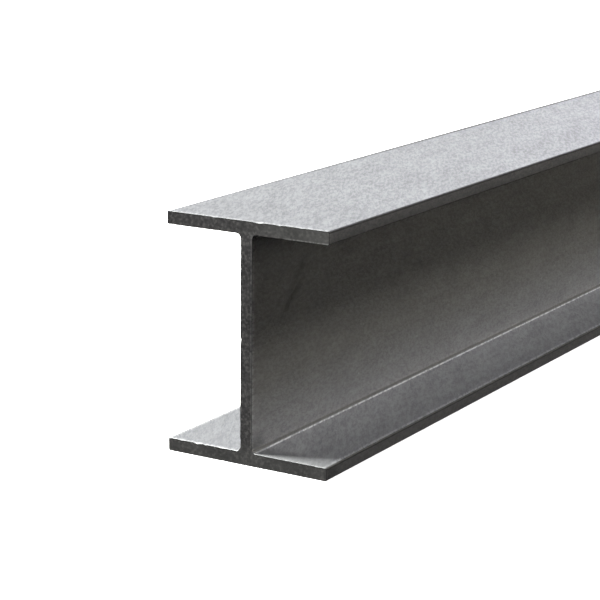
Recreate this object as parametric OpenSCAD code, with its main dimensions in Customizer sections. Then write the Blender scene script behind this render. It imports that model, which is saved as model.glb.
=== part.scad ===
// Steel I-beam: a length of hot-rolled I section with parallel flanges, sawn square at both ends.
// The bar lies along Y with its flanges level. The origin is under its middle, at the underside.

/* [Section] */
// Depth over the outer faces of the two flanges
section_depth = 100; // [80:1:160]
// Width of each flange, across the bar
flange_width = 75; // [50:1:120]
// Thickness of each flange
flange_thickness = 5.5; // [4:0.1:10]
// Thickness of the web between the flanges
web_thickness = 5.5; // [4:0.1:10]
// Radius of the root fillets, where the web runs into the flanges
root_radius = 2; // [1:0.5:10]
// Radius on the long edges of the flange toes
toe_radius = 0.7; // [0.3:0.1:1.8]

/* [Bar] */
// Length that the bar is cut to
bar_length = 1000; // [200:10:6000]

/* [Hidden] */
steel_grey = "#8A8C8F";
web_height = section_depth - 2 * flange_thickness;
curve_steps = 64;

// The sharp corner of a square of side r, outside the quarter circle that rounds it.
// The corner is at the origin and the square reaches along +X and +Y.
module corner_sliver(r) {
    difference() {
        square(r);
        translate([r, r])
            circle(r, $fn = curve_steps);
    }
}

// One flange, with its underside on the X axis and its four toe edges rounded.
module flange_outline() {
    difference() {
        translate([-flange_width / 2, 0])
            square([flange_width, flange_thickness]);
        for (side = [0, 1], face = [0, 1])
            mirror([side, 0])
                translate([-flange_width / 2, face * flange_thickness])
                    mirror([0, face])
                        corner_sliver(toe_radius);
    }
}

// The web, reaching into both flanges, with a fillet in each of its four roots.
module web_outline() {
    translate([-web_thickness / 2, flange_thickness / 2])
        square([web_thickness, section_depth - flange_thickness]);
    for (side = [0, 1], root = [0, 1])
        mirror([side, 0])
            translate([web_thickness / 2, flange_thickness + root * web_height])
                mirror([0, root])
                    corner_sliver(root_radius);
}

// The whole section: bottom flange, web and top flange, rolled as one.
module section_outline() {
    flange_outline();
    translate([0, section_depth - flange_thickness])
        flange_outline();
    web_outline();
}

module i_beam() {
    color(steel_grey)
        rotate([90, 0, 0])
            linear_extrude(height = bar_length, center = true)
                section_outline();
}

i_beam();
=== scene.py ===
# %% [markdown]
# # A steel I-beam: rolled skin, sawn ends
# A mill rolls this bar from one hot billet, so its two flanges, its web and the fillets between
# them are a single piece of steel. A saw then cuts it to length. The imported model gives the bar
# at its real size, and every cell below measures from it, so nothing here has to be fitted.

# %% Load the frame
import math

import bpy
from mathutils import Matrix, Vector


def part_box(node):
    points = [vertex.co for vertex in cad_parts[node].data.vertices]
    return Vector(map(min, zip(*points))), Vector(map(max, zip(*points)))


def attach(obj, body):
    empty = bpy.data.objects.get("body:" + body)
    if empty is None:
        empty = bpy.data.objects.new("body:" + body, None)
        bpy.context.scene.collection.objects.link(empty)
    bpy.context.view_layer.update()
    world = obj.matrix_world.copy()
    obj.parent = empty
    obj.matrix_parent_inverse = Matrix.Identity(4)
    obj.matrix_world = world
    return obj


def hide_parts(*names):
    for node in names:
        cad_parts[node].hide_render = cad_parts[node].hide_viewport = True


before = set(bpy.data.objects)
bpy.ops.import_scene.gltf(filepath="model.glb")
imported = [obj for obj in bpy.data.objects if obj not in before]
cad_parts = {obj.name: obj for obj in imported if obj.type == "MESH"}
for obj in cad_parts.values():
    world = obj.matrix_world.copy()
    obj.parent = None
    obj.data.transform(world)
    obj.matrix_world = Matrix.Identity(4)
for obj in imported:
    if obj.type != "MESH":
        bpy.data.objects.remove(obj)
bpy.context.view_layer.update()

low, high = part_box("i_beam")

# %% [markdown]
# ## Reading the section
# A drawing of a rolled section gives its depth, width, two thicknesses and two radii. They could
# be typed in again, but then they could disagree with the model. Here each one is measured on
# the model's own vertices: the web is where the points come closest to the middle, and the inner
# face of a flange is the highest point below mid-depth that lies well away from the web.

# %% Measure the section
MM = 0.001
HAIR = 0.001 * MM
points = [v.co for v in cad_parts["i_beam"].data.vertices]
bar_length = high.y - low.y
section_depth = high.z - low.z
flange_width = high.x - low.x
lower_half = [p for p in points if p.z < section_depth / 2]
web_thickness = 2 * min(abs(p.x) for p in points)
flange_thickness = max(p.z for p in lower_half if abs(p.x) > flange_width / 4)
on_web = [p for p in lower_half if abs(p.x) < web_thickness / 2 + HAIR and p.z > flange_thickness]
root_radius = min(p.z for p in on_web) - flange_thickness
toe_radius = flange_width / 2 - max(p.x for p in points if p.z < HAIR)
for label, size in [("depth", section_depth), ("width", flange_width), ("flange", flange_thickness),
                    ("web", web_thickness), ("root radius", root_radius), ("toe radius", toe_radius),
                    ("length", bar_length)]:
    print(f"{label}: {size / MM:.2f} mm")

# %% [markdown]
# ## Two small helpers
# Every tree below, for shape or for finish, is built from the same call: it adds one node, sets
# its options and fills its inputs with values or links. It hands back the node's first output,
# so that calls can be nested as a formula is. The second helper turns the hex colour that a
# paint chart gives into the linear colour that Blender mixes light in.

# %% Helpers
def add(tree, kind, inputs=None, **settings):
    node = tree.nodes.new(kind)
    for name, value in settings.items():
        setattr(node, name, value)
    for key, value in (inputs or {}).items():
        if isinstance(key, int):
            socket = node.inputs[key]
        else:
            socket = next(s for s in node.inputs if s.enabled and s.name == key)
        if isinstance(value, bpy.types.NodeSocket):
            tree.links.new(value, socket)
        else:
            socket.default_value = value
    return next((s for s in node.outputs if s.enabled), None)


def linear(code):
    channels = [int(code[i:i + 2], 16) / 255 for i in (1, 3, 5)]
    return [c / 12.92 if c <= 0.04045 else ((c + 0.055) / 1.055) ** 2.4 for c in channels] + [1.0]


print("mid grey is", [round(c, 3) for c in linear("#808080")])

# %% [markdown]
# ## The bar: one section, swept along its length
# A rolled bar follows a rule: the groove in the last pair of rolls is its section, and the bar
# is that section drawn out straight. It could be modelled by extruding an outline by hand, but
# then a fillet or a thickness could not be changed later. Geometry Nodes hold the rule itself.
# Twelve corners are placed from the named sizes, the Fillet Curve node rounds each to its own
# radius, and Curve to Mesh sweeps the loop along the length.
#
# The corners run round the section in four groups of three: face corner, inner corner, root.
# Ping-pong counts them 0 1 2 2 1 0 0 1 2 2 1 0, which gives each corner its step inwards.

# %% The section's outline
CORNERS = 12
ROUND_STEPS = 8


def outline(tree, size):
    index = add(tree, "GeometryNodeInputIndex")
    shifted = add(tree, "ShaderNodeMath", {0: index, 1: 0.5}, operation="ADD")
    step = add(tree, "ShaderNodeMath", {0: shifted, 1: 3.0}, operation="PINGPONG")
    inner = add(tree, "ShaderNodeMath", {0: step, 1: 1.0}, operation="GREATER_THAN")
    root = add(tree, "ShaderNodeMath", {0: step, 1: 2.0}, operation="GREATER_THAN")
    middle = (CORNERS - 1) / 2
    right = add(tree, "ShaderNodeMath", {0: index, 1: middle}, operation="LESS_THAN")
    from_top = add(tree, "ShaderNodeMath", {0: index, 1: middle, 2: CORNERS / 4}, operation="COMPARE")

    reach = add(tree, "ShaderNodeMix", {"Factor": root, "A": size["Width"], "B": size["Web"]})
    half = add(tree, "ShaderNodeMath", {0: reach, 1: 0.5}, operation="MULTIPLY")
    other_side = add(tree, "ShaderNodeMath", {0: half, 1: -1.0}, operation="MULTIPLY")
    across = add(tree, "ShaderNodeMix", {"Factor": right, "A": other_side, "B": half})

    rise = add(tree, "ShaderNodeMath", {0: inner, 1: size["Flange"]}, operation="MULTIPLY")
    fall = add(tree, "ShaderNodeMath", {0: size["Depth"], 1: rise}, operation="SUBTRACT")
    up = add(tree, "ShaderNodeMix", {"Factor": from_top, "A": rise, "B": fall})

    loop = add(tree, "GeometryNodeCurvePrimitiveCircle", {"Resolution": CORNERS})
    corner = add(tree, "ShaderNodeCombineXYZ", {"X": across, "Y": up})
    # On a path along +Y, Curve to Mesh points a profile's own Y down, so the outline goes in
    # upside down.
    corner = add(tree, "ShaderNodeVectorMath", {0: corner, "Scale": -1.0}, operation="SCALE")
    loop = add(tree, "GeometryNodeSetPosition", {"Geometry": loop, "Position": corner})
    radius = add(tree, "ShaderNodeMix", {"Factor": root, "A": size["Toe radius"], "B": size["Root radius"]})
    loop = add(tree, "GeometryNodeFilletCurve", {"Curve": loop, "Radius": radius, 1: ROUND_STEPS},
               mode="POLY")

    here = add(tree, "GeometryNodeInputPosition")
    following = add(tree, "GeometryNodeOffsetPointInCurve", {"Offset": 1}).node.outputs["Point Index"]
    there = add(tree, "GeometryNodeFieldAtIndex", {"Value": here, "Index": following},
                data_type="FLOAT_VECTOR")
    gap = add(tree, "ShaderNodeVectorMath", {0: here, 1: there}, operation="DISTANCE")
    cuts = add(tree, "ShaderNodeMath", {0: gap, 1: size["Facet width"]}, operation="DIVIDE")
    return add(tree, "GeometryNodeSubdivideCurve", {"Curve": loop, "Cuts": cuts})


print("outline:", CORNERS, "corners, each a round of", ROUND_STEPS, "points")

# %% [markdown]
# ## The length, with its rings packed towards the ends
# The middle of a bar needs few cross rings. Its sawn ends need many, because there the edge is
# rounded and nicked on the scale of a tenth of a millimetre. The path's points are therefore
# moved: t runs from -1 to 1, and the distance left to the end is made to follow (1 - |t|) to a
# power. The rings crowd where the saw went through and spread out in between.

# %% The path
def path(tree, size):
    half = add(tree, "ShaderNodeMath", {0: size["Length"], 1: 0.5}, operation="MULTIPLY")
    line = add(tree, "GeometryNodeCurvePrimitiveLine", {"End": (0.0, 1.0, 0.0)})
    line = add(tree, "GeometryNodeResampleCurve", {"Curve": line, "Count": size["Rings"]})
    along = add(tree, "GeometryNodeSplineParameter")
    t = add(tree, "ShaderNodeMath", {0: along, 1: 2.0, 2: -1.0}, operation="MULTIPLY_ADD")
    side = add(tree, "ShaderNodeMath", {0: t}, operation="SIGN")
    away = add(tree, "ShaderNodeMath", {0: t}, operation="ABSOLUTE")
    inwards = add(tree, "ShaderNodeMath", {0: 1.0, 1: away}, operation="SUBTRACT")
    crowded = add(tree, "ShaderNodeMath", {0: inwards, 1: size["Crowding"]}, operation="POWER")
    outwards = add(tree, "ShaderNodeMath", {0: 1.0, 1: crowded}, operation="SUBTRACT")
    signed = add(tree, "ShaderNodeMath", {0: outwards, 1: side}, operation="MULTIPLY")
    y = add(tree, "ShaderNodeMath", {0: signed, 1: half}, operation="MULTIPLY")
    place = add(tree, "ShaderNodeCombineXYZ", {"Y": y})
    return add(tree, "GeometryNodeSetPosition", {"Geometry": line, "Position": place})


# %% [markdown]
# ## Edges, nicks and undulation
# A saw leaves a rim that is not quite sharp, broken here and there by small nicks and burrs. The
# long toes are rounded by the rolls, and the faces wander by a few hundredths of a millimetre.
# Each of these moves a point straight into the steel, never out of it, so the bar keeps inside
# its true size. All three are worked out as depths and added up, so they cost one move.

# %% Rim, nicks and undulation
# A nick starts where the noise passes its floor, and has its full depth at its peak.
NICK_FLOOR = 0.58
NICK_PEAK = 0.74
ALONG_TO_ACROSS = 0.35
SEED_STEP = 7.3


def edge_inset(tree, size, place, to_end):
    # The rim's quarter round: inset = r - sqrt(r^2 - (r - s)^2), where s is the distance to the end.
    r = size["Rim radius"]
    left = add(tree, "ShaderNodeMath", {0: r, 1: to_end}, operation="SUBTRACT")
    left = add(tree, "ShaderNodeMath", {0: left, 1: 0.0}, operation="MAXIMUM")
    square = add(tree, "ShaderNodeMath", {0: left, 1: left}, operation="MULTIPLY")
    r_square = add(tree, "ShaderNodeMath", {0: r, 1: r}, operation="MULTIPLY")
    rest = add(tree, "ShaderNodeMath", {0: r_square, 1: square}, operation="SUBTRACT")
    rest = add(tree, "ShaderNodeMath", {0: rest}, operation="SQRT")
    rim = add(tree, "ShaderNodeMath", {0: r, 1: rest}, operation="SUBTRACT")

    # Nicks: only the peaks of a fine noise bite, and only within twice their depth of the end.
    seed = add(tree, "ShaderNodeMath", {0: size["Seed"], 1: SEED_STEP}, operation="MULTIPLY")
    finer = add(tree, "ShaderNodeMath", {0: 1.0, 1: size["Nick width"]}, operation="DIVIDE")
    rough = add(tree, "ShaderNodeTexNoise", {"Vector": place, "W": seed, "Scale": finer, "Detail": 2.0},
                noise_dimensions="4D")
    peaks = add(tree, "ShaderNodeMapRange", {"Value": rough, "From Min": NICK_FLOOR, "From Max": NICK_PEAK})
    reach = add(tree, "ShaderNodeMath", {0: size["Nick depth"], 1: 2.0}, operation="MULTIPLY")
    near_end = add(tree, "ShaderNodeMapRange", {"Value": to_end, "From Max": reach,
                                                "To Min": 1.0, "To Max": 0.0})
    nick = add(tree, "ShaderNodeMath", {0: peaks, 1: near_end}, operation="MULTIPLY")
    nick = add(tree, "ShaderNodeMath", {0: nick, 1: size["Nick depth"]}, operation="MULTIPLY")

    # Undulation: slow along the bar, quicker across it, as the rolls leave it.
    stretched = add(tree, "ShaderNodeVectorMath", {0: place, 1: (1.0, ALONG_TO_ACROSS, 1.0)},
                    operation="MULTIPLY")
    coarser = add(tree, "ShaderNodeMath", {0: 1.0, 1: size["Undulation width"]}, operation="DIVIDE")
    swell = add(tree, "ShaderNodeTexNoise", {"Vector": stretched, "W": seed, "Scale": coarser,
                                             "Detail": 1.0}, noise_dimensions="4D")
    swell = add(tree, "ShaderNodeMath", {0: swell, 1: size["Undulation"]}, operation="MULTIPLY")

    inset = add(tree, "ShaderNodeMath", {0: rim, 1: nick}, operation="ADD")
    return add(tree, "ShaderNodeMath", {0: inset, 1: swell}, operation="ADD")


print("noise bites from", NICK_FLOOR, "to", NICK_PEAK)

# %% [markdown]
# ## The whole tree
# The tree sweeps the section, moves its points inwards and gives each face its material. The
# direction of each move comes from the same sweep without its end caps, because the caps would
# tilt the normals at the rim. Three attributes are stored for the finish to read: how far the
# surface has turned at a toe and at the web, and how near the sawn end is. They are stored before
# the points move, so nicks and undulation do not disturb them.

# %% The rolled bar's node tree
# A face belongs to a sawn end when its normal lies this close to the bar's own direction.
SQUARE_ON = 0.98


def rolled_bar_tree(skin, sawn):
    tree = bpy.data.node_groups.new("rolled_bar", "GeometryNodeTree")
    tree.is_modifier = True
    for name in ("Depth", "Width", "Flange", "Web", "Root radius", "Toe radius", "Length", "Facet width",
                 "Crowding", "Rim radius", "Nick depth", "Nick width", "Undulation", "Undulation width"):
        tree.interface.new_socket(name, in_out="INPUT", socket_type="NodeSocketFloat")
    tree.interface.new_socket("Rings", in_out="INPUT", socket_type="NodeSocketInt")
    tree.interface.new_socket("Seed", in_out="INPUT", socket_type="NodeSocketInt")
    tree.interface.new_socket("Bar", in_out="OUTPUT", socket_type="NodeSocketGeometry")
    add(tree, "NodeGroupInput")
    size = tree.nodes[-1].outputs

    section = outline(tree, size)
    line = path(tree, size)
    sleeve = add(tree, "GeometryNodeCurveToMesh", {"Curve": line, "Profile Curve": section})
    bar = add(tree, "GeometryNodeCurveToMesh", {"Curve": line, "Profile Curve": section, "Fill Caps": True})
    normal = add(tree, "GeometryNodeInputNormal")
    index = add(tree, "GeometryNodeInputIndex")
    outward = add(tree, "GeometryNodeSampleIndex", {"Geometry": sleeve, "Value": normal, "Index": index},
                  data_type="FLOAT_VECTOR")

    place = add(tree, "GeometryNodeInputPosition")
    xyz = add(tree, "ShaderNodeSeparateXYZ", {0: place}).node.outputs
    half = add(tree, "ShaderNodeMath", {0: size["Length"], 1: 0.5}, operation="MULTIPLY")
    along = add(tree, "ShaderNodeMath", {0: xyz["Y"]}, operation="ABSOLUTE")
    to_end = add(tree, "ShaderNodeMath", {0: half, 1: along}, operation="SUBTRACT")

    inset = edge_inset(tree, size, place, to_end)
    inset = add(tree, "ShaderNodeMath", {0: inset, 1: -1.0}, operation="MULTIPLY")
    offset = add(tree, "ShaderNodeVectorMath", {0: outward, "Scale": inset}, operation="SCALE")

    # What the finish needs to know of the shape, kept with the mesh: how near the sawn end is, and
    # how far the surface has turned sideways, on the flanges' outer halves and on the web side. It
    # is 0 on a flat flange, 1 on a toe or on the web, and in between on the round between them.
    lean = add(tree, "ShaderNodeSeparateXYZ", {0: outward}).node.outputs["X"]
    lean = add(tree, "ShaderNodeMath", {0: lean}, operation="ABSOLUTE")
    away = add(tree, "ShaderNodeMath", {0: xyz["X"]}, operation="ABSOLUTE")
    quarter = add(tree, "ShaderNodeMath", {0: size["Width"], 1: 0.25}, operation="MULTIPLY")
    outer = add(tree, "ShaderNodeMath", {0: away, 1: quarter}, operation="GREATER_THAN")
    toe_turn = add(tree, "ShaderNodeMath", {0: lean, 1: outer}, operation="MULTIPLY")
    web_turn = add(tree, "ShaderNodeMath", {0: lean, 1: toe_turn}, operation="SUBTRACT")
    for name, value in (("toe_turn", toe_turn), ("web_turn", web_turn), ("to_sawn_end", to_end)):
        bar = add(tree, "GeometryNodeStoreNamedAttribute", {"Geometry": bar, "Name": name, "Value": value})

    bar = add(tree, "GeometryNodeSetPosition", {"Geometry": bar, "Offset": offset})
    facing = add(tree, "ShaderNodeSeparateXYZ", {0: normal}).node.outputs["Y"]
    facing = add(tree, "ShaderNodeMath", {0: facing}, operation="ABSOLUTE")
    is_end = add(tree, "FunctionNodeCompare", {"A": facing, "B": SQUARE_ON})
    is_side = add(tree, "FunctionNodeBooleanMath", {0: is_end}, operation="NOT")
    bar = add(tree, "GeometryNodeSetShadeSmooth", {"Geometry": bar, "Shade Smooth": is_side})
    bar = add(tree, "GeometryNodeRealizeInstances", {"Geometry": bar})
    bar = add(tree, "GeometryNodeSetMaterial", {"Geometry": bar, "Material": skin})
    bar = add(tree, "GeometryNodeSetMaterial", {"Geometry": bar, "Selection": is_end, "Material": sawn})
    add(tree, "NodeGroupOutput", {0: bar})
    return tree


# %% [markdown]
# ## Finish: shot-blasted rolled skin
# The bar's long faces are the skin that the rolls left, cleaned by steel shot. The shot peens the
# grey into a fine matt grain, faint streaks run along the bar, the way it was rolled, and a greasy
# glove has left a smear on the web. One Principled shader does this: noise at each of those real
# sizes mixes its colour, roughness and bump.
#
# The first cell makes the grain, the streaks, the smear and a few bright specks where the shot
# bit. They are all functions of the place on the bar, so they run on unbroken from one face to
# the next, as they do on the steel.

# %% Grain, streaks, smear and specks
def new_material(name):
    material = bpy.data.materials.new(name)
    material.use_nodes = True
    material.node_tree.nodes.clear()
    return material, material.node_tree


# Each dimple is about its real size. The clumps that they fall in are drawn larger than real, so
# that some grain is left at the distance that the whole bar is seen from.
DIMPLE = 0.6 * MM
CLUMP = 1.2 * MM
CLOUD = 9 * MM
STREAK = 3.5 * MM
SPECK_GAP = 6 * MM
SPECK = 0.5 * MM
# The wheel throws its shot at a slant, which draws each dent out that way. The rolls draw their
# streaks out along the bar.
BLAST_SLANT = math.radians(27)
BLAST_STRETCH = 4.5
STREAK_SQUEEZE = 0.03
# A glove mark, on the right of the web near the front end: its middle, half its length and width.
MARK_FROM_END = 31 * MM
MARK_HEIGHT = 66 * MM
MARK_SIZE = (1.0, 22 * MM, 5.5 * MM)
MARK_SLOPE = math.radians(49)


def skin_patterns(tree, place):
    blasted = add(tree, "ShaderNodeMapping", {"Vector": place, "Rotation": (0.0, 0.0, BLAST_SLANT),
                                              "Scale": (1.0, BLAST_STRETCH, 1.0)}, vector_type="TEXTURE")
    dimple = add(tree, "ShaderNodeTexNoise", {"Vector": blasted, "Scale": 1 / DIMPLE, "Detail": 1.0})
    clump = add(tree, "ShaderNodeTexNoise", {"Vector": blasted, "Scale": 1 / CLUMP, "Detail": 1.0})
    grain = add(tree, "ShaderNodeMix", {"Factor": 0.7, "A": dimple, "B": clump})
    grain = add(tree, "ShaderNodeMapRange", {"Value": grain, "From Min": 0.36, "From Max": 0.64})
    cloud = add(tree, "ShaderNodeTexNoise", {"Vector": blasted, "Scale": 1 / CLOUD, "Detail": 2.0})
    drawn_out = add(tree, "ShaderNodeVectorMath", {0: place, 1: (1.0, STREAK_SQUEEZE, 1.0)},
                    operation="MULTIPLY")
    streak = add(tree, "ShaderNodeTexNoise", {"Vector": drawn_out, "Scale": 1 / STREAK, "Detail": 3.0})
    to_speck = add(tree, "ShaderNodeTexVoronoi", {"Vector": place, "Scale": 1 / SPECK_GAP})
    speck = add(tree, "ShaderNodeMapRange", {"Value": to_speck, "From Min": 0.5 * SPECK / SPECK_GAP,
                                             "From Max": SPECK / SPECK_GAP, "To Min": 1.0, "To Max": 0.0})
    middle = (web_thickness / 2, low.y + MARK_FROM_END, MARK_HEIGHT)
    on_mark = add(tree, "ShaderNodeMapping", {"Vector": place, "Location": middle, "Scale": MARK_SIZE,
                                              "Rotation": (MARK_SLOPE, 0.0, 0.0)}, vector_type="TEXTURE")
    off = add(tree, "ShaderNodeVectorMath", {0: on_mark}, operation="LENGTH").node.outputs["Value"]
    within = add(tree, "ShaderNodeMapRange", {"Value": off, "From Min": 0.2, "To Min": 1.0, "To Max": 0.0})
    wiped = add(tree, "ShaderNodeTexNoise", {"Vector": on_mark, "Scale": 1.7, "Detail": 2.0})
    wiped = add(tree, "ShaderNodeMapRange", {"Value": wiped, "From Min": 0.4, "From Max": 0.6})
    smear = add(tree, "ShaderNodeMath", {0: within, 1: wiped}, operation="MULTIPLY")
    return grain, cloud, streak, smear, speck


for label, size in [("dimple", DIMPLE), ("clump", CLUMP), ("cloud", CLOUD), ("streak", STREAK)]:
    print(f"{label}: {size / MM:.1f} mm")

# %% [markdown]
# ## Where the skin is worn or dirty, and where light and shade are painted
# Edges tell most about a piece of steel. In the root, the foot of the fillet is burnished bright by
# the rolls and carries a painted highlight, and the steep part above it is darkened with painted
# shade. The rounds of the toes keep dark mill scale that the shot slid off, and are darkened further
# with painted shade. The slings have rubbed the upper arrises of the lower flange. The ends are
# filed bright where the burr was taken off, a band that is also a painted highlight along the
# arris, but handling has dulled their very rim. Each of these is a mask from 0 to 1, made from an
# attribute that the mesh carries or from the distance to an arris.

# %% Wear, mill scale, painted light and shade
SCALE_WIDTH = 2.0 * MM
RUBBED_WIDTH = 2.3 * MM
SLING_LENGTH = 260 * MM
WEDGE_SHADE_LENGTH = 12 * MM
FILED_HIGHLIGHT_LENGTH = 2.2 * MM
RIM_WIDTH = 0.5 * MM
# How far a fillet has turned from the flange, 0, to the web, 1: where its burnished foot with its
# painted highlight lies, half the width of that line, and where the painted shade above it starts,
# is thickest, thins and ends.
FOOT_TURN = 0.26
FOOT_SPREAD = 0.22
ROOT_SHADE_TURNS = (0.42, 0.6, 0.85, 0.99)


def falling(tree, value, start, end):
    return add(tree, "ShaderNodeMapRange", {"Value": value, "From Min": start, "From Max": end,
                                            "To Min": 1.0, "To Max": 0.0})


def times(tree, *masks):
    product = masks[0]
    for mask in masks[1:]:
        product = add(tree, "ShaderNodeMath", {0: product, 1: mask}, operation="MULTIPLY")
    return product


def wear_masks(tree, place, grain, streak):
    toe, web, to_end = [
        add(tree, "ShaderNodeAttribute", attribute_name=name).node.outputs["Fac"]
        for name in ("toe_turn", "web_turn", "to_sawn_end")]
    worn = add(tree, "ShaderNodeMapRange", {"Value": grain, "From Min": 0.2, "From Max": 0.57,
                                            "To Min": 0.3})
    # The root: a painted highlight along the fillet's burnished foot, painted shade on the part above.
    off_foot = add(tree, "ShaderNodeMath", {0: web, 1: FOOT_TURN}, operation="SUBTRACT")
    off_foot = add(tree, "ShaderNodeMath", {0: off_foot}, operation="ABSOLUTE")
    foot = times(tree, falling(tree, off_foot, FOOT_SPREAD / 2, FOOT_SPREAD), worn)
    starts, full, thins, ends = ROOT_SHADE_TURNS
    steep = add(tree, "ShaderNodeMapRange", {"Value": web, "From Min": starts, "From Max": full})
    painted_root_shade = times(tree, steep, falling(tree, web, thins, ends))
    # The ends' bright band: metal filed bright where the burr was taken off, and a painted highlight.
    filed_and_highlight = times(tree, falling(tree, to_end, 0.4 * FILED_HIGHLIGHT_LENGTH, FILED_HIGHLIGHT_LENGTH), worn)

    xyz = add(tree, "ShaderNodeSeparateXYZ", {0: place}).node.outputs
    low_down = falling(tree, xyz["Z"], flange_thickness, 3 * flange_thickness)
    dulled = add(tree, "ShaderNodeMapRange", {"Value": low_down, "To Min": 1.0, "To Max": 0.5})
    rim = times(tree, falling(tree, to_end, 0.4 * RIM_WIDTH, RIM_WIDTH), dulled)
    across = add(tree, "ShaderNodeMath", {0: xyz["X"]}, operation="ABSOLUTE")
    in_section = add(tree, "ShaderNodeCombineXYZ", {"X": across, "Z": xyz["Z"]})
    top_arris, lower_arris = [
        add(tree, "ShaderNodeVectorMath", {0: in_section, 1: (flange_width / 2, 0.0, height)},
            operation="DISTANCE").node.outputs["Value"]
        for height in (section_depth, flange_thickness)]
    right = add(tree, "ShaderNodeMath", {0: xyz["X"], 1: 0.0}, operation="GREATER_THAN")
    left = add(tree, "ShaderNodeMath", {0: xyz["X"], 1: 0.0}, operation="LESS_THAN")

    # Mill scale: on the upper round of every toe, darkened further there with painted shade, and in a
    # band along the upper left arris. Below it, the upper toes are darker towards their lower edge.
    near_arris = add(tree, "ShaderNodeMath", {0: top_arris, 1: lower_arris}, operation="MINIMUM")
    on_round = add(tree, "ShaderNodeMapRange", {"Value": toe, "From Min": 0.12, "From Max": 0.3})
    round_scale_and_shade = times(tree, falling(tree, near_arris, toe_radius, 1.8 * toe_radius), on_round)
    runs = add(tree, "ShaderNodeMapRange", {"Value": top_arris, "From Min": 0.4 * flange_thickness,
                                            "From Max": flange_thickness})
    runs = times(tree, runs, falling(tree, top_arris, 1.2 * flange_thickness, 1.5 * flange_thickness), toe)
    unrubbed = add(tree, "ShaderNodeMapRange", {"Value": to_end, "From Max": SLING_LENGTH})
    broken = add(tree, "ShaderNodeMapRange", {"Value": streak, "From Min": 0.2, "From Max": 0.4})
    scale = times(tree, falling(tree, top_arris, SCALE_WIDTH, 2 * SCALE_WIDTH), left, unrubbed, broken)
    rubbed = times(tree, falling(tree, lower_arris, 0.7 * RUBBED_WIDTH, RUBBED_WIDTH),
                   falling(tree, toe, 0.1, 0.4), worn)

    # Painted shade: the lower flange's right is darkened within a few millimetres of the sawn end,
    # where the key light reaches past the web.
    painted_wedge_shade = times(tree, falling(tree, to_end, 0.5 * WEDGE_SHADE_LENGTH, WEDGE_SHADE_LENGTH), low_down, right)

    # The flanges shade each other's inner faces from the shot, and the web still more. These faces are
    # also painted lighter: painted light that brightens the inside of the section.
    off_middle = add(tree, "ShaderNodeMath", {0: xyz["Z"], 1: section_depth / 2}, operation="SUBTRACT")
    off_middle = add(tree, "ShaderNodeMath", {0: off_middle}, operation="ABSOLUTE")
    between = add(tree, "ShaderNodeMath", {0: off_middle, 1: section_depth / 2 - 0.9 * flange_thickness},
                  operation="LESS_THAN")
    sheltered_painted_lighter = add(tree, "ShaderNodeMix", {"Factor": 0.5, "A": between, "B": web})
    return {"toe": toe, "foot": foot, "painted_root_shade": painted_root_shade, "filed_and_highlight": filed_and_highlight, "rim": rim, "scale": scale,
            "round": round_scale_and_shade, "runs": runs, "rubbed": rubbed, "painted_wedge_shade": painted_wedge_shade, "sheltered_painted_lighter": sheltered_painted_lighter}


print(f"scale band {SCALE_WIDTH / MM:.1f} mm, rubbed line {RUBBED_WIDTH / MM:.1f} mm wide")

# %% Rolled skin
# Most of it reflects as bare metal does. The rest is oxide and dust, which scatter light softly.
BARE_METAL = 0.8


def rolled_skin():
    material, tree = new_material("shot_blasted_rolled_steel")
    place = add(tree, "ShaderNodeTexCoord").node.outputs["Object"]
    grain, cloud, streak, smear, speck = skin_patterns(tree, place)
    mask = wear_masks(tree, place, grain, streak)

    peening = add(tree, "ShaderNodeMapRange", {"Value": mask["sheltered_painted_lighter"], "To Min": 0.34, "To Max": 0.32})
    tone = add(tree, "ShaderNodeMix", {"Factor": 0.4, "A": cloud, "B": streak})
    tone = add(tree, "ShaderNodeMix", {"Factor": peening, "A": tone, "B": grain})
    colour = add(tree, "ShaderNodeMix", {"Factor": tone, "A": linear("#5e5f62"), "B": linear("#abacb0")},
                 data_type="RGBA")
    roughness = add(tree, "ShaderNodeMapRange", {"Value": tone, "To Min": 0.62, "To Max": 0.48})
    # Each layer: how much of it there is, its colour and its roughness. The lighter inner faces, the
    # bright band at the ends, the toe rounds, the fillet's foot and the steep root above it, and the
    # right of the lower flange's end carry painted light and painted shade.
    layers = [(mask["sheltered_painted_lighter"], 0.2, "#b4b5b9", 0.55), (smear, 0.42, "#3a3a38", 0.5),
              (speck, 0.4, "#c8c9cb", 0.4), (mask["filed_and_highlight"], 0.45, "#d0d1d3", 0.5),
              (mask["rim"], 0.9, "#707173", 0.64), (mask["toe"], 0.5, "#626263", 0.6),
              (mask["rubbed"], 0.7, "#c8c9cc", 0.48), (mask["round"], 0.8, "#2f2f30", 0.65),
              (mask["runs"], 0.25, "#303031", 0.6),
              (mask["painted_root_shade"], 0.8, "#3e3e3e", 0.7), (mask["foot"], 0.95, "#dcdde0", 0.48),
              (mask["painted_wedge_shade"], 0.58, "#565758", 0.6), (mask["scale"], 0.85, "#3a3a3b", 0.6)]
    for where, amount, code, finish in layers:
        part = add(tree, "ShaderNodeMath", {0: where, 1: amount}, operation="MULTIPLY")
        colour = add(tree, "ShaderNodeMix", {"Factor": part, "A": colour, "B": linear(code)},
                     data_type="RGBA")
        roughness = add(tree, "ShaderNodeMix", {"Factor": part, "A": roughness, "B": finish})

    peened = add(tree, "ShaderNodeMath", {0: grain, 1: peening}, operation="MULTIPLY")
    bump = add(tree, "ShaderNodeBump", {"Height": peened, "Distance": 0.12 * MM, "Strength": 0.9})
    bump = add(tree, "ShaderNodeBump", {"Height": cloud, "Distance": 0.10 * MM, "Strength": 0.25,
                                        "Normal": bump})
    shader = add(tree, "ShaderNodeBsdfPrincipled", {"Base Color": colour, "Roughness": roughness,
                                                    "Normal": bump, "Metallic": BARE_METAL})
    add(tree, "ShaderNodeOutputMaterial", {"Surface": shader})
    return material


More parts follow.
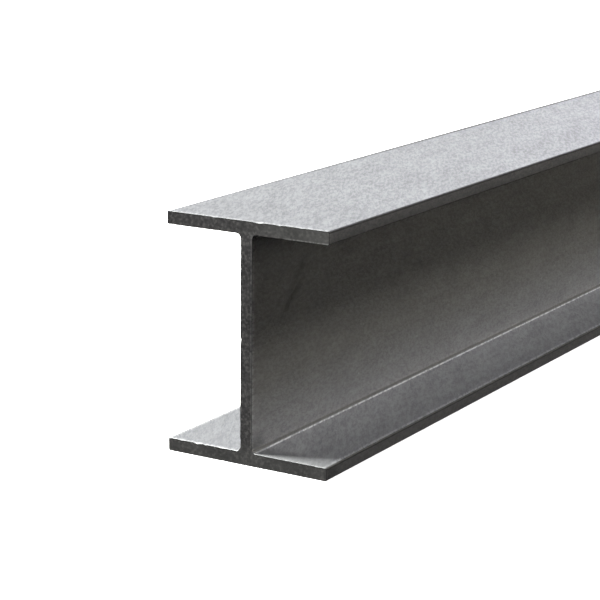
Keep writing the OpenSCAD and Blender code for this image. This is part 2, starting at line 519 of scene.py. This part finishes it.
skin = rolled_skin()
print(skin.name, "has", len(skin.node_tree.nodes), "nodes")

# %% [markdown]
# ## Finish: sawn end
# A band saw leaves the end darker than the blasted faces: mottled, with fine parallel marks
# across it and a bloom where the coolant dried. Where the blade left the steel there is a bright
# broken burr under the upper flange, and down the right of the web a burr with a painted
# highlight. A line of painted shade runs just under the upper arrises. The marks are noise
# stretched along X and turned a little, since a blade never feeds quite level.

# %% Burr, painted shade line and dried coolant
BURR = 0.5 * MM
SHADE_LINE = 0.3 * MM


def saw_masks(tree, place, mottle):
    broken = add(tree, "ShaderNodeMapRange", {"Value": mottle, "From Max": 0.6, "To Min": 0.3})

    # The right half of the upper flange and the whole of the lower one dried lighter.
    xyz = add(tree, "ShaderNodeSeparateXYZ", {0: place}).node.outputs
    to_right = add(tree, "ShaderNodeMapRange", {"Value": xyz["X"], "From Min": -web_thickness,
                                                "From Max": 3 * web_thickness})
    below_top = add(tree, "ShaderNodeMath", {0: section_depth, 1: xyz["Z"]}, operation="SUBTRACT")
    on_top = add(tree, "ShaderNodeMath", {0: below_top, 1: flange_thickness}, operation="LESS_THAN")
    on_web = add(tree, "ShaderNodeMath", {0: xyz["Z"], 1: flange_thickness + root_radius},
                 operation="GREATER_THAN")
    on_web = add(tree, "ShaderNodeMath", {0: on_web, 1: on_top}, operation="SUBTRACT")
    lower = falling(tree, xyz["Z"], flange_thickness, 2 * flange_thickness)

    # The burr, on the upper flange's lower arris and on the web's right arris; on the web it is also a
    # painted highlight.
    from_lower_arris = add(tree, "ShaderNodeMath", {0: flange_thickness, 1: below_top},
                           operation="SUBTRACT")
    clear_of_web = add(tree, "ShaderNodeMapRange", {"Value": xyz["X"], "From Min": 2 * web_thickness,
                                                    "From Max": 4 * web_thickness})
    flange_burr = times(tree, falling(tree, from_lower_arris, BURR, 1.5 * BURR), on_top, clear_of_web,
                        broken)
    from_web_arris = add(tree, "ShaderNodeMath", {0: web_thickness / 2, 1: xyz["X"]}, operation="SUBTRACT")
    web_burr_and_highlight = times(tree, falling(tree, from_web_arris, BURR, 1.5 * BURR), on_web, broken)

    # A line of painted shade, under the upper arrises of both flanges.
    across = add(tree, "ShaderNodeMath", {0: xyz["X"]}, operation="ABSOLUTE")
    past_root = add(tree, "ShaderNodeMath", {0: across, 1: web_thickness / 2 + root_radius},
                    operation="GREATER_THAN")
    below_lower = add(tree, "ShaderNodeMath", {0: flange_thickness, 1: xyz["Z"]}, operation="SUBTRACT")
    lower_line = times(tree, falling(tree, below_lower, SHADE_LINE, 2 * SHADE_LINE), lower, past_root)
    lower_line = add(tree, "ShaderNodeMath", {0: lower_line, 1: on_web}, operation="SUBTRACT",
                     use_clamp=True)
    upper_line = falling(tree, below_top, SHADE_LINE, 2 * SHADE_LINE)
    painted_shade = add(tree, "ShaderNodeMath", {0: upper_line, 1: lower_line}, operation="MAXIMUM")
    return {"dried": times(tree, to_right, on_top), "lower": lower, "flange burr": flange_burr,
            "web burr and highlight": web_burr_and_highlight, "painted_shade": painted_shade}


print(f"burr {BURR / MM:.1f} mm wide, entry line {SHADE_LINE / MM:.1f} mm")

# %% Sawn steel
SAW_MARK = 0.8 * MM
MOTTLE = 1.2 * MM
BLOOM = 14 * MM
MARK_TILT = math.radians(7)
MARK_STRETCH = 30


def sawn_end():
    material, tree = new_material("sawn_carbon_steel")
    place = add(tree, "ShaderNodeTexCoord").node.outputs["Object"]
    turned = add(tree, "ShaderNodeMapping", {"Vector": place, "Rotation": (0.0, MARK_TILT, 0.0),
                                             "Scale": (MARK_STRETCH, 1.0, 1.0)}, vector_type="TEXTURE")
    marks = add(tree, "ShaderNodeTexNoise", {"Vector": turned, "Scale": 1 / SAW_MARK, "Detail": 2.0})
    bloom = add(tree, "ShaderNodeTexNoise", {"Vector": place, "Scale": 1 / BLOOM, "Detail": 3.0})
    mottle = add(tree, "ShaderNodeTexNoise", {"Vector": place, "Scale": 1 / MOTTLE, "Detail": 2.0})
    mottle = add(tree, "ShaderNodeMapRange", {"Value": mottle, "From Min": 0.36, "From Max": 0.64})
    tone = add(tree, "ShaderNodeMix", {"Factor": 0.5, "A": bloom, "B": mottle})
    tone = add(tree, "ShaderNodeMix", {"Factor": 0.2, "A": tone, "B": marks})
    colour = add(tree, "ShaderNodeMix", {"Factor": tone, "A": linear("#3b3a3c"), "B": linear("#8b898b")},
                 data_type="RGBA")
    glint = add(tree, "ShaderNodeMapRange", {"Value": mottle, "From Min": 0.8})
    mask = saw_masks(tree, place, mottle)

    # Each layer: how much of it there is, and its colour. The burr on the web carries a painted
    # highlight, and the last layer is painted shade.
    layers = [(glint, 0.22, "#bdbbb6"), (mask["dried"], 0.35, "#9a9a98"), (mask["lower"], 0.25, "#9a9a98"),
              (mask["flange burr"], 1.0, "#b8b8b8"), (mask["web burr and highlight"], 0.4, "#b8b8b8"),
              (mask["painted_shade"], 0.5, "#1e1e20")]
    for where, amount, code in layers:
        part = add(tree, "ShaderNodeMath", {0: where, 1: amount}, operation="MULTIPLY")
        colour = add(tree, "ShaderNodeMix", {"Factor": part, "A": colour, "B": linear(code)},
                     data_type="RGBA")

    roughness = add(tree, "ShaderNodeMapRange", {"Value": bloom, "To Min": 0.4, "To Max": 0.6})
    bump = add(tree, "ShaderNodeBump", {"Height": marks, "Distance": 0.03 * MM, "Strength": 0.5})
    shader = add(tree, "ShaderNodeBsdfPrincipled", {"Base Color": colour, "Roughness": roughness,
                                                    "Normal": bump, "Metallic": BARE_METAL})
    add(tree, "ShaderNodeOutputMaterial", {"Surface": shader})
    return material


sawn = sawn_end()
print(sawn.name, "has", len(sawn.node_tree.nodes), "nodes")
print(f"saw marks about {SAW_MARK / MM:.1f} mm apart")

# %% [markdown]
# ## Making the bar
# The tree goes on an empty mesh as a modifier. Its inputs are found by their identifiers and set
# before the object is first evaluated. The evaluated result is then copied into a plain mesh, so
# the finished bar needs no modifier, and it takes the place of the CAD node.

# %% The bar
def make_bar(tree, sizes):
    maker = bpy.data.objects.new("bar_maker", bpy.data.meshes.new("bar_maker"))
    bpy.context.scene.collection.objects.link(maker)
    modifier = maker.modifiers.new("rolled_bar", "NODES")
    modifier.node_group = tree
    for item in tree.interface.items_tree:
        if item.in_out == "INPUT":
            modifier[item.identifier] = sizes[item.name]
    evaluated = maker.evaluated_get(bpy.context.evaluated_depsgraph_get())
    mesh = bpy.data.meshes.new_from_object(evaluated)
    bpy.data.objects.remove(maker)
    bar = bpy.data.objects.new("rolled_i_beam", mesh)
    bpy.context.scene.collection.objects.link(bar)
    return bar


bar = make_bar(rolled_bar_tree(skin, sawn), {
    "Depth": section_depth, "Width": flange_width, "Flange": flange_thickness, "Web": web_thickness,
    "Root radius": root_radius, "Toe radius": toe_radius, "Length": bar_length,
    "Facet width": 1.2 * MM, "Crowding": 2.4, "Rim radius": 0.12 * MM, "Nick depth": 0.5 * MM,
    "Nick width": 2.4 * MM, "Undulation": 0.06 * MM, "Undulation width": 26 * MM, "Rings": 161, "Seed": 4,
})
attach(bar, "root")
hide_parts("i_beam")
print("bar:", len(bar.data.vertices), "vertices,", len(bar.data.polygons), "faces")

# %% [markdown]
# ## Floor and light
# Bare steel shows what it mirrors, so its look comes as much from the lamps as from its colour.
# Area lamps could light it, but their light would change along a bar a metre long. A sun lamp
# lights every place alike, and its spread says how soft it is. The key, from the upper left,
# lights the top and the left of the lower flange. It doesn't reach the right of the web, so three
# weaker lamps behind the bar and two on its right light the web, the toes and the fillets there.
#
# The floor and the backdrop are plain and pale. The floor glows a little and is hidden from the
# bar's own reflections, so that it stays even and throws no light up under the flanges.

# %% Floor, backdrop and lamps
def linked(name, data):
    thing = bpy.data.objects.new(name, data)
    bpy.context.scene.collection.objects.link(thing)
    return thing


def floor_material():
    # Matt and faintly glowing: the eye gets one even pale tone, with no gloss and no shadow.
    material, tree = new_material("pale_studio_floor")
    shader = add(tree, "ShaderNodeBsdfPrincipled", {"Base Color": linear("#f4f4f4"), "Roughness": 0.9,
                                                    "Emission Color": linear("#ffffff"),
                                                    "Emission Strength": 0.7})
    add(tree, "ShaderNodeOutputMaterial", {"Surface": shader})
    return material


def make_floor(reach, drop):
    mesh = bpy.data.meshes.new("studio_floor")
    corners = [(x * reach, y * reach, -drop) for x, y in ((-1, -1), (1, -1), (1, 1), (-1, 1))]
    mesh.from_pydata(corners, [], [(0, 1, 2, 3)])
    mesh.materials.append(floor_material())
    floor = linked("studio_floor", mesh)
    floor.visible_diffuse = False
    floor.visible_glossy = False


def make_world(backdrop, ambient):
    world = bpy.data.worlds.new("studio")
    bpy.context.scene.world = world
    world.use_nodes = True
    tree = world.node_tree
    tree.nodes.clear()
    seen = add(tree, "ShaderNodeLightPath").node.outputs["Is Camera Ray"]
    shown = add(tree, "ShaderNodeBackground", {"Color": linear("#ffffff"), "Strength": backdrop})
    lit = add(tree, "ShaderNodeBackground", {"Color": linear("#ffffff"), "Strength": ambient})
    mixed = add(tree, "ShaderNodeMixShader", {"Fac": seen, 1: lit, 2: shown})
    add(tree, "ShaderNodeOutputWorld", {"Surface": mixed})


def toward(azimuth, elevation):
    """A unit vector out from the bar: azimuth 0 is the front end, 90 the right side."""
    a, e = math.radians(azimuth), math.radians(elevation)
    return Vector((math.sin(a) * math.cos(e), -math.cos(a) * math.cos(e), math.sin(e)))


def sun(name, azimuth, elevation, strength, spread, colour):
    light = bpy.data.lights.new(name, "SUN")
    light.energy = strength
    light.angle = math.radians(spread)
    light.color = linear(colour)[:3]
    lamp = linked(name, light)
    lamp.rotation_euler = toward(azimuth, elevation).to_track_quat("Z", "Y").to_euler()


make_floor(reach=30, drop=0.1 * MM)
make_world(backdrop=1.0, ambient=0.01)
sun("key_left", azimuth=-75, elevation=51, strength=15.3, spread=12, colour="#fefffa")
sun("back_right", azimuth=135, elevation=45, strength=1.8, spread=12, colour="#fff9e8")
sun("right_high", azimuth=90, elevation=65, strength=1.25, spread=10, colour="#dde5ff")
sun("back_left", azimuth=-170, elevation=20, strength=0.48, spread=10, colour="#ebe4ff")
sun("back_low", azimuth=160, elevation=6, strength=0.2, spread=12, colour="#fff5df")
sun("right_fill", azimuth=90, elevation=5, strength=0.28, spread=24, colour="#fff8ee")

# %% [markdown]
# ## Camera
# The camera stands off the front end, a third of the way round to the right and a little above,
# so that the section, the top and the right of the web all show. A long lens keeps the flanges
# nearly parallel. The aim and the distance are counted in section depths: another size of beam
# would fill the picture in the same way. The camera is also rolled by half a degree.

# %% Camera
def make_camera(aim, distance, azimuth, elevation, roll, lens):
    data = bpy.data.cameras.new("camera")
    data.lens = lens
    data.sensor_width = 36
    camera = linked("camera", data)
    back = toward(azimuth, elevation)
    turn = back.to_track_quat("Z", "Y").to_matrix() @ Matrix.Rotation(math.radians(roll), 3, "Z")
    camera.matrix_world = Matrix.Translation(aim + distance * back) @ turn.to_4x4()
    bpy.context.scene.camera = camera


AIM_FROM_END = 0.4094 * section_depth
AIM_HEIGHT = 0.5996 * section_depth
CAMERA_DISTANCE = 8.365 * section_depth
aim = Vector((0, low.y + AIM_FROM_END, AIM_HEIGHT))
make_camera(aim, CAMERA_DISTANCE, azimuth=31.18, elevation=13.63, roll=0.524, lens=122.24)
bpy.context.scene.view_settings.view_transform = "Standard"
print("camera at", [round(c, 3) for c in bpy.context.scene.camera.matrix_world.translation])

# %% [markdown]
# ## The end
# Rim, nicks and undulation were all cut into the steel, so the bar's box has to lie inside the
# model's, short of it by a few hundredths of a millimetre.

# %% Finish
bpy.context.view_layer.update()
